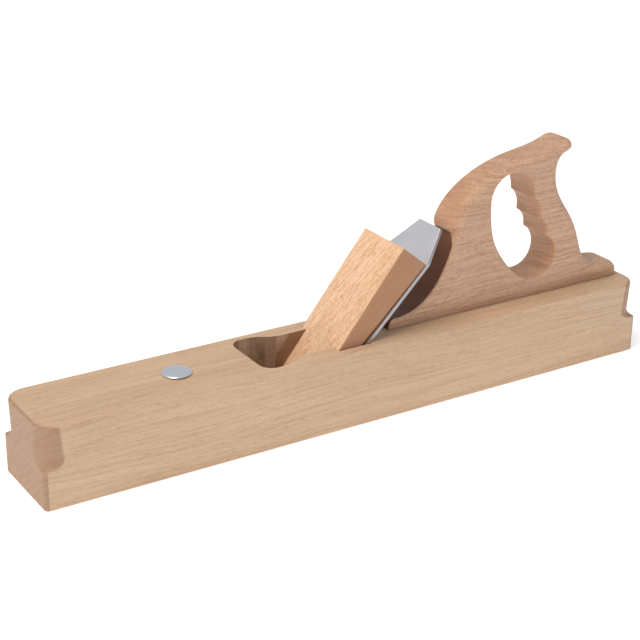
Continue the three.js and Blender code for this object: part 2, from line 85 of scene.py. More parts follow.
# %% Camera
CAMERA_AIM = Vector((-27.3, 0.0, 87.1)) * MM
CAMERA_DISTANCE = 1.3674
CAMERA_AZIMUTH = radians(32.49)
CAMERA_ELEVATION = radians(23.53)
CAMERA_ROLL = radians(0.88)
LENS_MM = 90.45
SENSOR_MM = 36

view_direction = Vector((
    sin(CAMERA_AZIMUTH) * cos(CAMERA_ELEVATION),
    cos(CAMERA_AZIMUTH) * cos(CAMERA_ELEVATION),
    -sin(CAMERA_ELEVATION),
))
camera_data = bpy.data.cameras.new("camera")
camera_data.lens = LENS_MM
camera_data.sensor_width = SENSOR_MM
camera = bpy.data.objects.new("camera", camera_data)
bpy.context.scene.collection.objects.link(camera)
camera.matrix_world = (
    Matrix.Translation(CAMERA_AIM - view_direction * CAMERA_DISTANCE)
    @ view_direction.to_track_quat("-Z", "Y").to_matrix().to_4x4()
    @ Matrix.Rotation(CAMERA_ROLL, 4, "Z")
)
bpy.context.scene.camera = camera
print("camera at", [round(x, 3) for x in camera.matrix_world.translation])

# %% [markdown]
# ## Colours and nodes
# Colours are written as sRGB hex, as in any paint program, and turned to the linear values that
# shaders use. Nodes could be laid out by hand in the shader editor. Here one helper adds a node, with
# its settings and links, so a material reads as a list of steps.

# %% Colours and nodes
def linear(hex_colour):
    channels = [int(hex_colour[i:i + 2], 16) / 255 for i in (1, 3, 5)]
    return [c / 12.92 if c <= 0.04045 else ((c + 0.055) / 1.055) ** 2.4 for c in channels] + [1.0]


def add(tree, kind, inputs=None, **settings):
    node = tree.nodes.new(kind)
    for key, value in settings.items():
        setattr(node, key, value)
    for name, value in (inputs or {}).items():
        socket = node.inputs[name]
        if isinstance(value, bpy.types.NodeSocket):
            tree.links.new(value, socket)
        else:
            socket.default_value = value
    return node


def new_material(name):
    material = bpy.data.materials.new(name)
    material.use_nodes = True
    tree = material.node_tree
    return material, tree, tree.nodes["Principled BSDF"]


def dress(piece, material):
    piece.data.materials.clear()
    piece.data.materials.append(material)


# %% [markdown]
# ## Patterns and layers of colour
# Wood and ground steel are both built up in the same three ways: noise that is stretched to a real
# size in millimetres, a measure of how squarely a surface faces one way, and a layer of colour that
# is laid over another where a mask is high.

# %% Pattern, lean and paint
def pattern(tree, source, size_mm, detail=2.0, roughness=0.5):
    """Noise whose spots have about these sizes along X, Y and Z. The source is in mm."""
    scaled = add(
        tree, "ShaderNodeMapping",
        {"Vector": source.outputs["Vector"], "Scale": [1 / size for size in size_mm]},
    )
    return add(
        tree, "ShaderNodeTexNoise",
        {"Vector": scaled.outputs["Vector"], "Scale": 1.0, "Detail": detail, "Roughness": roughness},
    )


def lean(tree, place, direction):
    """From 0, where a surface is side on to the direction, to 1, where it faces along it or back."""
    facing = add(
        tree, "ShaderNodeVectorMath",
        {0: place.outputs["Normal"], 1: direction}, operation="DOT_PRODUCT",
    )
    return add(
        tree, "ShaderNodeMath", {0: facing.outputs["Value"]}, operation="ABSOLUTE",
    ).outputs[0]


def paint(tree, under, over, mask, low, high, most=1.0):
    """Lays one colour over another: not at all where the mask is at low, and by most at high."""
    amount = add(
        tree, "ShaderNodeMapRange",
        {"Value": mask, "From Min": low, "From Max": high, "To Max": most},
    )
    return add(
        tree, "ShaderNodeMix",
        {0: amount.outputs["Result"], 6: under, 7: over}, data_type="RGBA",
    ).outputs[2]


# %% [markdown]
# ## Beech
# Steamed beech is a pale, pinkish brown wood. Four things make it look like beech: growth rings,
# drawn here as soft bands across the radial direction; fine fibres along the grain; rays, thin sheets
# of denser wood that stand on edge; and end grain, which drinks more oil. A ray shows as a short dark
# dash on a flat-sawn face and as a shiny fleck on a quarter-sawn one. A scanned board could be wrapped
# round each piece, but it would show seams. This pattern is solid, in object coordinates, so the
# same rings and rays run on from face to face. Real fibres and rays are 0.1 to 0.3 mm wide. They
# are drawn 0.6 mm wide or more, so that they show at this distance.

# %% Beech, for any piece
DRIFT_LENGTH = (160.0, 60.0, 60.0)  # how far apart, in mm, the grain bends one way and the other
DRIFT_REACH = (0.0, 14.0, 14.0)  # noise from -0.5 to 0.5, times this, is how far it wanders
CLOUD = (150.0, 30.0, 30.0)  # the size in mm of a patch of deeper colour
CLOUD_DEPTH = 0.45
# Painted shade for the cove behind the iron: its colour, and how far it is laid on.
COVE_PAINTED_SHADE = "#562705"
COVE_PAINTED_SHADE_DEPTH = 0.9
OILED_SHINE = 0.3  # less than the usual 0.5, because the oil has sunk in
RAY_GLOSS = 0.06  # how far the roughness differs between a ray and the wood beside it
FIBRE_RELIEF = 0.1 * MM
FIBRE_STRENGTH = 0.12


def beech(
    name, pale, deep, ray, ends, turn, along, ring=(300.0, 30.0, 2.6), ring_depth=0.6,
    fibre=(40.0, 1.1, 1.1), fibre_depth=0.3, fleck=(3.5, 0.6, 2.0), ray_depth=0.3,
    end_from=0.1, end_depth=1.0, rough=0.5,
):
    """pale and deep are the early and late wood, and ray is the rays. turn lays the grain along X,
    with Y along the rings and Z across them. ring, fibre and fleck are the sizes of a ring, a fibre
    and a ray in mm. A face that looks along the direction `along`, or straight back, takes the colour
    of ends by end_depth. That starts where it leans there by end_from, and is whole at twice that."""
    material, tree, shader = new_material(name)
    place = add(tree, "ShaderNodeTexCoord")
    grain = add(
        tree, "ShaderNodeMapping",
        {"Vector": place.outputs["Object"], "Rotation": turn, "Scale": (1 / MM, 1 / MM, 1 / MM)},
    )

    # The grain wanders by a few millimetres along a board.
    drift = pattern(tree, grain, DRIFT_LENGTH, detail=1.0)
    centred = add(
        tree, "ShaderNodeVectorMath",
        {0: drift.outputs["Color"], 1: (0.5, 0.5, 0.5)}, operation="SUBTRACT",
    )
    bent = add(
        tree, "ShaderNodeVectorMath",
        {0: centred.outputs["Vector"], 1: DRIFT_REACH, 2: grain.outputs["Vector"]},
        operation="MULTIPLY_ADD",
    )
    rings = pattern(tree, bent, ring, detail=3.0, roughness=0.6).outputs["Fac"]
    fibres = pattern(tree, bent, fibre).outputs["Fac"]
    rays = pattern(tree, bent, fleck, detail=1.0).outputs["Fac"]
    clouds = pattern(tree, grain, CLOUD).outputs["Fac"]

    # Noise lies mostly between 0.3 and 0.7, so these limits pick out its high or its low spots:
    # growth rings, clouds of deeper colour, dark and pale fibres, dark and pale rays.
    early, late, dark = linear(pale), linear(deep), linear(ray)
    wood = paint(tree, early, late, rings, 0.40, 0.64, ring_depth)
    wood = paint(tree, wood, late, clouds, 0.35, 0.75, CLOUD_DEPTH)
    wood = paint(tree, wood, dark, fibres, 0.48, 0.72, fibre_depth)
    wood = paint(tree, wood, early, fibres, 0.50, 0.30, fibre_depth)
    wood = paint(tree, wood, dark, rays, 0.56, 0.66, ray_depth)
    wood = paint(tree, wood, early, rays, 0.44, 0.34, ray_depth)

    # Then the faces that have a colour of their own, such as end grain.
    end_wood = paint(tree, linear(ends), dark, rings, 0.45, 0.62, 0.5)
    wood = paint(tree, wood, end_wood, lean(tree, place, along), end_from, 2 * end_from, end_depth)

    # Painted shade: points that carry the cove's attribute are darkened towards a deep brown. This
    # stands in for the shadow in the cove behind the iron.
    painted_shade = add(tree, "ShaderNodeAttribute", attribute_name="painted_shade").outputs["Fac"]
    wood = paint(tree, wood, linear(COVE_PAINTED_SHADE), painted_shade, 0, 1, COVE_PAINTED_SHADE_DEPTH)

    gloss = add(
        tree, "ShaderNodeMapRange",
        {"Value": rays, "To Min": rough + RAY_GLOSS, "To Max": rough - RAY_GLOSS},
    )
    relief = add(
        tree, "ShaderNodeBump",
        {"Height": fibres, "Strength": FIBRE_STRENGTH, "Distance": FIBRE_RELIEF},
    )
    shader.inputs["Specular IOR Level"].default_value = OILED_SHINE
    tree.links.new(wood, shader.inputs["Base Color"])
    tree.links.new(gloss.outputs["Result"], shader.inputs["Roughness"])
    tree.links.new(relief.outputs["Normal"], shader.inputs["Normal"])
    print("material", name)
    return material


# %% [markdown]
# ## The woods of this plane
# The stock is flat sawn, with its rings at a slant, so its long side shows straight lines and its
# rounded corners show the rings as slanting stripes. The handle's grain runs level. The wedge is
# quarter sawn: its front face is covered in fine ray flecks, and its grain runs up the bed. Its sides
# are flat sawn and deeper in colour, so it takes its second colour there and not on its ends.

# %% Four beech finishes
BED_PITCH = radians(45)

stock_beech = beech(
    "oiled_beech_stock", "#d0b598", "#bb9b7c", "#9a775b", "#a98a71",
    turn=(radians(38), 0, radians(-1.2)), along=(1, 0, 0),
    fibre=(60.0, 1.1, 1.1), fleck=(6.0, 0.6, 2.0), ray_depth=0.25,
)
handle_beech = beech(
    "oiled_beech_handle", "#cfac90", "#b38c72", "#936c53", "#b98761",
    turn=(radians(8), radians(1.5), 0), along=(1, 0, 0),
    ring=(110.0, 30.0, 2.0), ring_depth=0.85, fibre_depth=0.4, end_from=0.3, end_depth=0.35,
)
wedge_beech = beech(
    "quarter_sawn_beech_wedge", "#f0ceac", "#d2a47c", "#ad7650", "#ab8162",
    turn=(0, BED_PITCH, radians(14)), along=(0, 1, 0), ring=(120.0, 3.0, 6.0),
    fibre=(26.0, 1.2, 1.2), fibre_depth=0.45, fleck=(0.9, 4.0, 5.0), ray_depth=0.35, end_from=0.3,
)
dowel_beech = beech(
    "plain_beech_dowel", "#d8b894", "#c8a480", "#ad8a68", "#b8936f",
    turn=(0, radians(90), 0), along=(0, 0, 1), end_from=0.3, rough=0.65,
)

# %% [markdown]
# ## Steels
# The iron is ground tool steel: satin, with fine lines along its length. Its narrow sides are rough
# ground, and take a darker tint, which is partly that and partly painted shade that dims the bright
# floor they reflect. The cap iron is the same steel, a little darker, ground across its width.
# The button, boss and screw are turned and polished. A metal's colour is in its reflection, so
# metallic is 1 and the base colour is its tint. Real grinding lines are finer than 0.1 mm. They are
# drawn 0.8 mm wide, so that they show. The polished pieces have faint round marks and no lines.

# %% Steel, for any piece
SIDES_FROM = 0.5  # the side colour starts at this lean to either side of the plane
SIDES_WHOLE = 0.9
SMUDGE = (25.0, 25.0, 25.0)  # the size in mm of a patch that is duller or brighter
SMUDGE_GLOSS = 0.08
LINE_STRENGTH = 0.1


def steel(name, tint, side_tint_and_shade, rough, line_mm, turn=(0, 0, 0), depth=0.05):
    """turn lays the piece's length along X. line_mm is the size of a grinding line along X, Y and Z,
    and depth is its depth in mm. Faces to either side of the plane get the darker side tint: partly
    the rougher steel of the sides, partly painted shade that dims what they reflect."""
    material, tree, shader = new_material(name)
    place = add(tree, "ShaderNodeTexCoord")
    laid = add(
        tree, "ShaderNodeMapping",
        {"Vector": place.outputs["Object"], "Rotation": turn, "Scale": (1 / MM, 1 / MM, 1 / MM)},
    )
    sideways = lean(tree, place, (0, 1, 0))
    # Partly painted shade: the faces to either side take the darker tint, which also dims the bright
    # floor reflected in them.
    colour = paint(tree, linear(tint), linear(side_tint_and_shade), sideways, SIDES_FROM, SIDES_WHOLE)
    lines = pattern(tree, laid, line_mm).outputs["Fac"]
    smudges = pattern(tree, laid, SMUDGE).outputs["Fac"]
    # The two noises mostly add up to something between 0.6 and 1.4.
    worn = add(tree, "ShaderNodeMath", {0: lines, 1: smudges}, operation="ADD")
    gloss = add(
        tree, "ShaderNodeMapRange",
        {"Value": worn.outputs[0], "From Min": 0.6, "From Max": 1.4,
         "To Min": rough - SMUDGE_GLOSS, "To Max": rough + SMUDGE_GLOSS},
    )
    relief = add(
        tree, "ShaderNodeBump",
        {"Height": lines, "Strength": LINE_STRENGTH, "Distance": depth * MM},
    )
    shader.inputs["Metallic"].default_value = 1.0
    tree.links.new(colour, shader.inputs["Base Color"])
    tree.links.new(gloss.outputs["Result"], shader.inputs["Roughness"])
    tree.links.new(relief.outputs["Normal"], shader.inputs["Normal"])
    print("material", name)
    return material


# %% Three steel finishes
BED_TURN = (0, BED_PITCH, 0)
tool_steel = steel("ground_tool_steel", "#efedef", "#a3a2a6", 0.36, (60, 0.8, 0.8), BED_TURN)
cap_steel = steel("ground_cap_steel", "#9d9b9e", "#5c5b5e", 0.4, (0.8, 40, 0.8), BED_TURN)
bright_steel = steel("polished_steel", "#e9eef2", "#a9aeb2", 0.3, (3, 3, 3), depth=0.02)

# %% [markdown]
# ## Helpers for modelling
# Blender's operators act on what is selected, so each step selects first, by place. `take` makes one
# object the only selected and active one, and `edit` runs steps on it in edit mode. `copy_of` copies
# a CAD node, whose mesh is loose triangles, and joins the triangles into clean faces, so that the
# edges between them can be worked.

# %% Select, edit and copy
WELD = 0.002 * MM
FLAT = radians(0.5)  # faces that meet at less than this are joined into one


def take(piece):
    bpy.ops.object.select_all(action="DESELECT")
    piece.select_set(True)
    bpy.context.view_layer.objects.active = piece


def edit(piece, *steps):
    """Runs the steps, which are functions, in edit mode."""
    take(piece)
    bpy.ops.object.mode_set(mode="EDIT")
    for step in steps:
        step()
    bpy.ops.object.mode_set(mode="OBJECT")


def copy_of(node, name):
    piece = nodes[node].copy()
    piece.data = piece.data.copy()
    piece.name = piece.data.name = name
    piece.parent = None
    del piece["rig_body"], piece["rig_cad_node"]
    bpy.context.scene.collection.objects.link(piece)
    edit(
        piece,
        lambda: bpy.ops.mesh.select_all(action="SELECT"),
        lambda: bpy.ops.mesh.remove_doubles(threshold=WELD),
        lambda: bpy.ops.mesh.dissolve_limited(angle_limit=FLAT),
    )
    print(name, "copied, with", len(piece.data.polygons), "faces")
    return piece


# %% [markdown]
# ## Easing an edge
# Apart from the cutting edge, no edge that a hand meets is left dead sharp: a stroke of sandpaper or
# a stone takes it off. The Bevel operator does the same to the chosen edges. A profile of 0.5 would be
# a part of a circle, and a little more leaves the edge fuller, as a hand does. A Bevel modifier takes
# every edge over an angle, or needs a weight on each. So the operator is used, on edges that are
# picked by where they are and how much they bend.

# %% Choose edges and ease them
EASE_SEGMENTS = 2
EASE_PROFILE = 0.6


def bend_at(edge):
    """The angle between the two faces of an edge, or 0 at a border."""
    return edge.calc_face_angle(0.0)


def sharper_than(degrees, above=0.0):
    """Picks edges that bend by more than this and lie above a height in metres."""
    return lambda edge, middle: bend_at(edge) > radians(degrees) and middle.z > above


def select_edges(piece, wanted):
    """In edit mode, selects the edges for which wanted(edge, middle) holds."""
    mesh = bmesh.from_edit_mesh(piece.data)
    bpy.ops.mesh.select_mode(type="EDGE")
    bpy.ops.mesh.select_all(action="DESELECT")
    count = 0
    for edge in mesh.edges:
        middle = (edge.verts[0].co + edge.verts[1].co) / 2
        if wanted(edge, middle):
            edge.select_set(True)
            count += 1
    bmesh.update_edit_mesh(piece.data)
    print(piece.name, "has", count, "edges to ease")


def ease_edges(piece, width, wanted):
    edit(
        piece,
        lambda: select_edges(piece, wanted),
        lambda: bpy.ops.mesh.bevel(
            offset=width, segments=EASE_SEGMENTS, profile=EASE_PROFILE, clamp_overlap=True,
        ),
    )


# %% [markdown]
# ## Finishing a piece
# Smooth shading up to an angle keeps flat faces flat and curves soft. Weighted normals then let the
# large faces keep their direction next to a narrow bevel. Each finished piece replaces its CAD node,
# rides on the node's body, and is counted for open edges, because a solid has none.

# %% Modifiers, shading and place
def apply_modifier(piece, kind, **settings):
    take(piece)
    modifier = piece.modifiers.new(kind.lower(), kind)
    for key, value in settings.items():
        setattr(modifier, key, value)
    bpy.ops.object.modifier_apply(modifier=modifier.name)


def shade(piece, smooth_under=30):
    take(piece)
    bpy.ops.object.shade_smooth_by_angle(angle=radians(smooth_under))
    apply_modifier(piece, "WEIGHTED_NORMAL", keep_sharp=True)


def open_edges(piece):
    mesh = bmesh.new()
    mesh.from_mesh(piece.data)
    count = sum(1 for edge in mesh.edges if not edge.is_manifold)
    mesh.free()
    return count


def fit(piece, node, body):
    """The piece stands for its CAD node and rides on its body."""
    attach(piece, body)
    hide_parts(node)
    print(piece.name, len(piece.data.vertices), "points,", open_edges(piece), "open edges")


# %% [markdown]
# ## The stock
# The stock is one block, sawn and planed, with its throat chopped out and pared smooth. Its corners
# are rounded above a cove. It could be cut out again with booleans, but the CAD node already has all
# of that. So a copy is joined into clean faces, and only the edges that a hand touches are eased: the
# rims of the throat, of the slot for the iron and of the button's hole.

# %% Stock
RIM_EASE = 0.5 * MM
RIM_BEND = radians(20)
LEVEL_SLACK = 0.01 * MM
SIDE_CLEARANCE = 4 * MM  # the rims lie further from the stock's sides than this
TOE_CLEARANCE = 60 * MM  # and further from its toe than this
FOOT_LAP = 2 * MM  # rims that lie further under the handle's foot than this are left sharp
rims_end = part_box("handle")[0].x + FOOT_LAP

stock = copy_of("stock", "stock_body")


def on_rim(edge, middle):
    on_top = all(point.co.z > stock_top - LEVEL_SLACK for point in edge.verts)
    off_the_sides = abs(middle.y) < stock_high.y - SIDE_CLEARANCE
    off_the_toe = stock_low.x + TOE_CLEARANCE < middle.x < rims_end
    return on_top and off_the_sides and off_the_toe and bend_at(edge) > RIM_BEND


ease_edges(stock, RIM_EASE, on_rim)
shade(stock)
dress(stock, stock_beech)
fit(stock, "stock", "plane_body")

# %% [markdown]
# ## The handle
# The handle is sawn to an outline, and its edges are rounded with a router. An extruded outline with
# a bevel would be quicker, but a bevel this wide folds over itself at the horn and the nose. The
# router's bearing follows the outline, so the depth at any point depends only on how far in from the
# outline it is. That is also how the handle is drawn: points are laid in from the outline in steps,
# joined into a sheet of triangles, and each is given the depth that the bit leaves there. The edge
# of the opening has a smaller radius, and the cove behind the iron is left nearly square.

# %% Outlines of the handle and its opening, in mm from the front of the foot
handle_low, handle_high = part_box("handle")
HALF_THICKNESS = (handle_high.y - handle_low.y) / 2 / MM
FOOT = (handle_low.z - stock_top) / MM
tail = (handle_high.x - handle_low.x) / MM
to_frame = Vector((handle_low.x, 0, stock_top))

outer_start = (0, FOOT)
outer_curves = [  # two control points and an end point for each Bezier curve
    ((0, 2), (0, 4), (0, 5)),
    ((0, 8.3), (2, 10.3), (6, 10.4)),
    ((41, 10.5), (58, 44), (66, 73)),
    ((67.5, 78), (61, 76.5), (64, 83)),
    ((71, 104), (97, 121.5), (128, 129.3)),
    ((146, 133.8), (162, 134.3), (176.5, 139.3)),
    ((180.5, 140.7), (184, 142.8), (188.5, 142.8)),
    ((194.5, 142.8), (201.5, 137), (198, 133.8)),
    ((194, 131.2), (190, 131), (186, 129)),
    ((181.5, 126.5), (179.3, 121), (179.3, 114.5)),
    ((179.3, 99), (187, 88), (195, 77)),
    ((209, 58), (210, 48), (215.5, 34)),
    ((219, 25), (223, 19.5), (231, 18)),
    ((236, 17.1), (243, 16.5), (tail - 13, 15.5)),
    ((tail - 4, 14), (tail, 8), (tail, FOOT)),
]
SCALLOP_DEPTH = 3.4  # of the hollow for each finger
grip_ridges = [Vector(p) for p in ((169.5, 56), (160, 73.9), (152.2, 94.8))]
hole_start = (128, 122)
hole_curves = [
    ((116, 122), (105.2, 112), (104.9, 99)),
    ((104.6, 86), (106.5, 71), (110.5, 61)),
    ((118, 43), (140, 16.8), (158, 16.8)),
    ((172, 16.8), (180, 26), (180.3, 37.5)),
    ((180.5, 44), (177, 52), tuple(grip_ridges[0])),
]
# A hollow's control points stand 4/3 as far out as the hollow is deep at its middle.
for lower, upper in zip(grip_ridges, grip_ridges[1:]):
    along = (upper - lower).normalized()
    swell = Vector((along.y, -along.x)) * (4 / 3 * SCALLOP_DEPTH)
    low_third, high_third = lower.lerp(upper, 1 / 3) + swell, lower.lerp(upper, 2 / 3) + swell
    hole_curves.append((tuple(low_third), tuple(high_third), tuple(upper)))
hole_curves.append(((153, 111), (140, 122), hole_start))


# %% Points along the outlines
STEP = 2.0


def points_along(start, curves):
    """Points about a step apart along a chain of Bezier curves."""
    points = [Vector(start)]
    for first, second, end in curves:
        begin, goal = points[-1], Vector(end)
        count = max(2, round((goal - begin).length / STEP)) + 1
        points += interpolate_bezier(begin, Vector(first), Vector(second), goal, count)[1:]
    return np.array(points)


outer = points_along(outer_start, outer_curves)
hole = points_along(hole_start, hole_curves)[:-1]
print("outline", len(outer), "points, opening", len(hole), "points")

# %% [markdown]
# ## Rounding by router
# The inward direction at a point is square to the outline. Each point is moved inwards in steps, and
# a moved point counts only if no other part of the outline is nearer, as a bearing would not reach
# it. So the steps stay apart in narrow places, such as the horn, and meet in a clean mitre.

# %% Inward direction, distance and room
ROUNDING_STEPS = 9
REACH_SLACK = 0.02


def inward(points, closed):
    before, after = np.roll(points, 1, axis=0), np.roll(points, -1, axis=0)
    if not closed:
        before[0], after[-1] = points[0], points[-1]
    forward = after - before
    forward /= np.linalg.norm(forward, axis=1, keepdims=True)
    return np.column_stack([forward[:, 1], -forward[:, 0]])


def nearest(places, outline, radii, closed):
    """For each place, the distance to the outline, and the rounding at the nearest point of it."""
    last = len(outline) if closed else len(outline) - 1
    best, best_radius = np.full(len(places), np.inf), np.zeros(len(places))
    for i in range(last):
        start, end = outline[i], outline[(i + 1) % len(outline)]
        side = end - start
        share = np.clip((places - start) @ side / (side @ side), 0, 1)
        distance = np.linalg.norm(places - start - share[:, None] * side, axis=1)
        radius = radii[i] + share * (radii[(i + 1) % len(outline)] - radii[i])
        closer = distance < best
        best[closer], best_radius[closer] = distance[closer], radius[closer]
    return best, best_radius


def inside(places, outline):
    """Which places lie inside a closed outline: those with an odd number of crossings beside them."""
    start, run = outline, np.roll(outline, -1, axis=0) - outline
    x, z = places[:, :1], places[:, 1:]
    spans = (start[:, 1] > z) != (start[:, 1] + run[:, 1] > z)
    crossing = start[:, 0] + (z - start[:, 1]) * run[:, 0] / np.where(run[:, 1] == 0, 1, run[:, 1])
    return (spans & (crossing > x)).sum(axis=1) % 2 == 1


def inner_steps(outline, normals, radii, closed):
    """The outline's points moved inwards by the steps of a quarter circle, where there is room."""
    kept = []
    for step in range(1, ROUNDING_STEPS + 1):
        inset = radii * (1 - cos(step / ROUNDING_STEPS * pi / 2))
        moved = outline + normals * inset[:, None]
        distance, _ = nearest(moved, outline, radii, closed)
        kept.append(moved[distance > inset - REACH_SLACK])
    return np.vstack(kept)


# %% Radii and depths
EDGE_ROUNDING = 9.0
COVE_ROUNDING = 1.5
HOLE_ROUNDING = 2.5
COVE_TOP = 66.0  # the cove's square edge ends here
NOSE_TIP = 77.0  # and the full rounding starts here


def depths(places):
    """Half the thickness that the router leaves at each place."""
    half = np.full(len(places), HALF_THICKNESS)
    for outline, radii, closed in ((outer, outer_radii, False), (hole, hole_radii, True)):
        distance, radius = nearest(places, outline, radii, closed)
        left = np.clip(radius - distance, 0, None)
        half = np.minimum(half, HALF_THICKNESS - radius + np.sqrt(radius ** 2 - left ** 2))
    return half


heights = outer[:, 1].copy()
heights[np.argmax(heights > NOSE_TIP):] = NOSE_TIP
outer_radii = np.interp(heights, (COVE_TOP, NOSE_TIP), (COVE_ROUNDING, EDGE_ROUNDING))
hole_radii = np.full(len(hole), HOLE_ROUNDING)
outer_normals = inward(outer, closed=False)
outer_normals[0], outer_normals[-1] = (1, 0), (-1, 0)
outer_steps = inner_steps(outer, outer_normals, outer_radii, closed=False)
hole_steps = inner_steps(hole, inward(hole, closed=True), hole_radii, closed=True)
to_hole, _ = nearest(outer_steps, hole, hole_radii, closed=True)
from_outer, _ = nearest(hole_steps, outer, outer_radii, closed=False)
outer_steps = outer_steps[(to_hole > HOLE_ROUNDING) & ~inside(outer_steps, hole)]
print(len(outer_steps), "and", len(hole_steps), "inner points, least wall", round(from_outer.min(), 2))

# %% [markdown]
# ## From sheet to solid
# One flat sheet of triangles is made inside the outline and around the opening. It is laid out twice,
# once at the depth on each side, and every border edge of the sheet becomes a wall between the two.
# The points of the cove get an attribute, which the beech finish reads to paint shade on them,
# standing in for the shadow in the cove behind the iron.

# %% Sheet
INSIDE_ONLY = 1  # keeps the triangles inside the outline
SAME_POINT = 1e-4
loops = [(0, len(outer)), (len(outer), len(hole))]
borders = [(first + i, first + (i + 1) % count) for first, count in loops for i in range(count)]
flat = [Vector(p) for p in np.vstack([outer, hole, outer_steps, hole_steps])]
sheet, _, triangles, *_ = delaunay_2d_cdt(flat, borders, [], INSIDE_ONLY, SAME_POINT)
plan = np.array(sheet)
middles = plan[np.array(triangles)].mean(axis=1)
# The opening has been filled too, so its triangles are left out.
triangles = [t for t, empty in zip(triangles, inside(middles, hole)) if not empty]
print("sheet of", len(plan), "points and", len(triangles), "triangles")

# %% Two sides and the walls between them
half = depths(plan)
both_sides = [
    to_frame + Vector((x, side * y, z)) * MM
    for side in (-1, 1)
    for (x, z), y in zip(plan, half)
]
far = len(plan)
faces = [tuple(t) for t in triangles] + [tuple(i + far for i in reversed(t)) for t in triangles]
edges = [(t[i], t[(i + 1) % 3]) for t in triangles for i in range(3)]
shared = set(edges)
faces += [(b, a, a + far, b + far) for a, b in edges if (b, a) not in shared]
handle_mesh = bpy.data.meshes.new("handle_grip")
handle_mesh.from_pydata(both_sides, [], faces)
handle = bpy.data.objects.new("handle_grip", handle_mesh)
bpy.context.scene.collection.objects.link(handle)
print("handle has", len(handle.data.polygons), "faces,", open_edges(handle), "open edges")

# %% Painted shade in the cove
# The points along the cove's outline are marked, and the beech finish darkens them: painted shade for
# the shadow behind the iron.
cove_end = np.argmax(outer[:, 1] > NOSE_TIP)
cove_points = {tuple(np.round(point, 3)) for point in outer[:cove_end]}
in_cove = [float(tuple(np.round(point, 3)) in cove_points) for point in plan]
painted_shade_layer = handle_mesh.attributes.new("painted_shade", "FLOAT", "POINT")
painted_shade_layer.data.foreach_set("value", in_cove * 2)
print("sheltered points", round(2 * sum(in_cove)))

# %% [markdown]
# ## The handle's foot
# Along the foot, the side leans in by 2 mm towards the stock, a shadow line that hides the glue
# joint. The sides are cut level at two heights, and the points below are drawn in.

# %% Undercut
UNDERCUT_HEIGHT = 8.0
UNDERCUT_SHARE = 0.11  # about 2 mm of the 18 mm from the middle to the side
UNDERCUT_CURVE = 0.8  # 1 would be a straight slope
ON_LEVEL = 0.0001 * MM


def cut_level(height):
    bpy.ops.mesh.select_all(action="SELECT")
    level = (0, 0, stock_top + height * MM)
    bpy.ops.mesh.bisect(plane_co=level, plane_no=(0, 0, 1), use_fill=False, threshold=ON_LEVEL)


edit(handle, lambda: cut_level(UNDERCUT_HEIGHT), lambda: cut_level(UNDERCUT_HEIGHT / 2))
undercut_points = 0
for vertex in handle.data.vertices:
    below = UNDERCUT_HEIGHT - (vertex.co.z - stock_top) / MM
    if below > 0:
        vertex.co.y *= 1 - UNDERCUT_SHARE * (below / UNDERCUT_HEIGHT) ** UNDERCUT_CURVE
        undercut_points += 1
print("undercut", undercut_points, "points")

# %% [markdown]
# ## The tip of the horn
# Seen from above, the horn ends in a round tip, rasped by hand. The points near the tip are drawn in
# towards the middle, along a quarter of an ellipse.

# %% Horn tip
TIP_LENGTH = 10.0
TIP_SHARE = 0.3  # how much of the width is left at the very end
TIP_FLOOR = 124.0  # what is lower than this isn't part of the horn
horn_end = max(point[0] for point in outer if point[1] > TIP_FLOOR)
for vertex in handle.data.vertices:
    x, z = (vertex.co.x - to_frame.x) / MM, (vertex.co.z - to_frame.z) / MM
    near = (x - horn_end) / TIP_LENGTH + 1
    if near > 0 and z > TIP_FLOOR:
        vertex.co.y *= (1 - (1 - TIP_SHARE ** 2) * min(near, 1) ** 2) ** 0.5
print("horn ends", round(horn_end, 1), "mm behind the front of the foot")

# %% [markdown]
# ## Dowel holes
# Two dowels stand in the stock and locate the handle while its glue dries. Their holes are bored
# into the foot a little wide and a little deep: a cylinder is made round each dowel and taken away
# by a Boolean modifier.

# %% Dowel holes
DOWEL_CLEARANCE = 0.3 * MM
DOWEL_SIDES = 48


def cut(piece, cutter):
    apply_modifier(piece, "BOOLEAN", object=cutter, operation="DIFFERENCE", solver="EXACT")
    bpy.data.objects.remove(cutter)


for node in ("handle_dowel_front", "handle_dowel_rear"):
    low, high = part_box(node)
    bpy.ops.mesh.primitive_cylinder_add(
        vertices=DOWEL_SIDES, radius=(high.x - low.x) / 2 + DOWEL_CLEARANCE,
        depth=high.z - low.z + 2 * DOWEL_CLEARANCE, location=(low + high) / 2,
    )
    cut(handle, bpy.context.object)

shade(handle)
dress(handle, handle_beech)
fit(handle, "handle", "plane_body")

# %% [markdown]
# ## The striking button
# The button is turned from steel bar, with a shank that sits in the stock and a low dome that takes
# the hammer. Spinning a profile would do, but it leaves a seam to merge. Here it is modelled as a
# turner sees it: a disc at one end, extruded level by level and scaled to the radius there.

# %% Turning
DOME_FLAT = 0.08  # the angle from the pole, in radians, at which a dome ends in its flat
TURNED_SIDES = 96


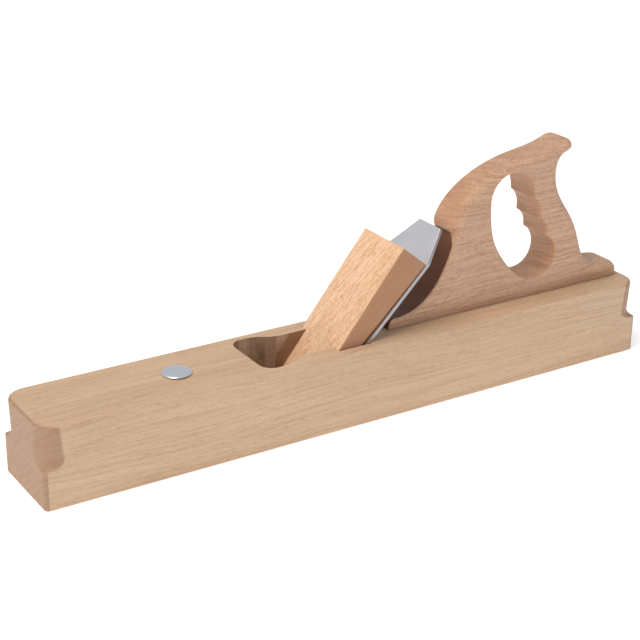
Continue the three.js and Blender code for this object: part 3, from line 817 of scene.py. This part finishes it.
def turned(name, levels):
    """A solid of revolution about Z, from levels of (radius, height) in mm."""
    radius, height = levels[0]
    bpy.ops.object.select_all(action="DESELECT")
    bpy.ops.mesh.primitive_circle_add(
        vertices=TURNED_SIDES, radius=radius * MM, fill_type="NGON", location=(0, 0, height * MM),
    )
    piece = bpy.context.object
    piece.name = piece.data.name = name
    bpy.ops.object.transform_apply(location=True, rotation=True, scale=True)
    bpy.ops.object.mode_set(mode="EDIT")
    bpy.ops.mesh.select_all(action="SELECT")
    for new_radius, new_height in levels[1:]:
        bpy.ops.mesh.extrude_region_move(
            TRANSFORM_OT_translate={"value": (0, 0, (new_height - height) * MM)},
        )
        ratio = new_radius / radius
        bpy.ops.transform.resize(value=(ratio, ratio, 1), center_override=(0, 0, 0))
        radius, height = new_radius, new_height
    bpy.ops.mesh.select_all(action="SELECT")
    bpy.ops.mesh.normals_make_consistent(inside=False)
    bpy.ops.object.mode_set(mode="OBJECT")
    return piece


def arc(radius, low, rise, steps):
    """Levels up a flattened dome, from its rim to near its middle, where a small flat is left."""
    levels = []
    for step in range(1, steps + 1):
        angle = step / steps * (pi / 2 - DOME_FLAT)
        levels.append((radius * cos(angle), low + rise * sin(angle)))
    return levels


# %% Striking button
button_low, button_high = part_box("striking_button")
SEAT_GAP = 0.3
BUTTON_RIM = 0.8
RIM_BREAK = 0.2
SHANK_RADIUS = 5.0
SHANK_CHAMFER = 0.5
DOME_STEPS = 14
button_radius = (button_high.x - button_low.x) / 2 / MM
shank_end = button_low.z / MM
seat = stock_top / MM + SEAT_GAP
dome_rise = button_high.z / MM - seat - BUTTON_RIM
button = turned("button_head", [
    (SHANK_RADIUS - SHANK_CHAMFER, shank_end), (SHANK_RADIUS, shank_end + SHANK_CHAMFER),
    (SHANK_RADIUS, seat), (button_radius - RIM_BREAK, seat),
    (button_radius, seat + RIM_BREAK), (button_radius, seat + BUTTON_RIM),
    *arc(button_radius, seat + BUTTON_RIM, dome_rise, DOME_STEPS),
])
button.data.transform(Matrix.Translation(((button_low.x + button_high.x) / 2, 0, 0)))
shade(button, 40)
dress(button, bright_steel)
fit(button, "striking_button", "plane_body")

# %% [markdown]
# ## The double iron
# The iron and the cap iron are plates. Their CAD shapes are right, so each is a welded copy with its
# long edges eased by a stone, which gives them the thin bright line that steel edges have. The
# cutting edge stays sharp.

# %% Iron and cap iron
ABOVE_GRIND = 12 * MM  # what is higher than this is clear of the cutting edge
STONE_EASE = 0.3 * MM
CAP_EASE = 0.25 * MM

iron = copy_of("cutting_iron", "iron_blade")
ease_edges(iron, STONE_EASE, sharper_than(40, above=ABOVE_GRIND))
shade(iron)
dress(iron, tool_steel)
fit(iron, "cutting_iron", "iron")

cap = copy_of("cap_iron", "cap_iron_plate")
ease_edges(cap, CAP_EASE, sharper_than(60, above=ABOVE_GRIND))
shade(cap)
dress(cap, cap_steel)
fit(cap, "cap_iron", "cap")

# %% [markdown]
# ## Boss, screw and dowels
# These small pieces are mostly hidden when the plane is put together, and their CAD shapes are right.
# A CAD node is never changed, but its finish may be, so they only get their materials.

# %% Boss, screw and dowels
for node, material in (
    ("cap_boss", bright_steel), ("cap_screw", bright_steel),
    ("handle_dowel_front", dowel_beech), ("handle_dowel_rear", dowel_beech),
):
    dress(nodes[node], material)
    print(node, "is", material.name)

# %% [markdown]
# ## The wedge
# The wedge is planed to its taper and its foot is sawn into a fork. The CAD shape is right here too,
# so a welded copy is eased. Its edges are only just broken with a stroke of sandpaper, so that they
# stay crisp against the iron.

# %% Wedge
WEDGE_EASE = 0.35 * MM
wedge = copy_of("wedge", "wedge_block")
ease_edges(wedge, WEDGE_EASE, sharper_than(40))
shade(wedge)
dress(wedge, wedge_beech)
fit(wedge, "wedge", "wedge")

# %% [markdown]
# ## Floor
# The floor is pale and gives off a little light of its own, like a light table, so that it stays
# white and throws some light up at the sides.

# %% Floor
FLOOR_SIZE = 8
FLOOR_GLOW = 0.38
bpy.ops.object.select_all(action="DESELECT")
bpy.ops.mesh.primitive_plane_add(size=FLOOR_SIZE, location=(0, 0, 0))
floor = bpy.context.object
floor.name = "floor"
floor_paint, _, floor_shader = new_material("pale_studio_floor")
floor_shader.inputs["Base Color"].default_value = linear("#fbfbfb")
floor_shader.inputs["Roughness"].default_value = 0.9
floor_shader.inputs["Emission Color"].default_value = (1, 1, 1, 1)
floor_shader.inputs["Emission Strength"].default_value = FLOOR_GLOW
dress(floor, floor_paint)
print("floor", FLOOR_SIZE, "m wide")

# %% [markdown]
# ## Light
# Soft studio light: a warm softbox high on the left and a faint one in front. Both are area lamps,
# because a large lamp gives soft shadows.

# %% Softboxes
def softbox(name, place, aim, size, watts, tint):
    data = bpy.data.lights.new(name, "AREA")
    data.shape = "SQUARE"
    data.size = size
    data.energy = watts
    data.color = linear(tint)[:3]
    lamp = bpy.data.objects.new(name, data)
    bpy.context.scene.collection.objects.link(lamp)
    turn = (Vector(aim) - Vector(place)).to_track_quat("-Z", "Y").to_matrix().to_4x4()
    lamp.matrix_world = Matrix.Translation(place) @ turn
    print(name, watts, "W at", place)


softbox("key_softbox", place=(-1.2, -0.25, 2.5), aim=(0, 0, 0.05), size=1.4, watts=48, tint="#fff0e0")
softbox("front_softbox", place=(0.3, -2.0, 0.9), aim=(0, 0, 0.08), size=1.4, watts=1, tint="#ffffff")

# %% [markdown]
# ## Room
# The room fills in from all round. It is a little cooler and dimmer than the key softbox, so that the
# top is warm and the side is quiet. The camera itself sees the room as plain white, like a lit paper
# backdrop: a Light Path node tells its rays from the rest.

# %% Room
ROOM_LIGHT = 0.56
room = bpy.data.worlds.new("white_room")
room.use_nodes = True
room_light = room.node_tree.nodes["Background"]
room_light.inputs["Color"].default_value = linear("#f6f9ff")
room_light.inputs["Strength"].default_value = ROOM_LIGHT
backdrop = add(room.node_tree, "ShaderNodeBackground", {"Color": (1, 1, 1, 1), "Strength": 1.0})
seen_by = add(room.node_tree, "ShaderNodeLightPath")
choice = add(room.node_tree, "ShaderNodeMixShader", {
    0: seen_by.outputs["Is Camera Ray"],
    1: room_light.outputs["Background"], 2: backdrop.outputs["Background"],
})
room_surface = room.node_tree.nodes["World Output"].inputs["Surface"]
room.node_tree.links.new(choice.outputs["Shader"], room_surface)
bpy.context.scene.world = room
bpy.context.scene.view_settings.view_transform = "Standard"
print("room light", ROOM_LIGHT)
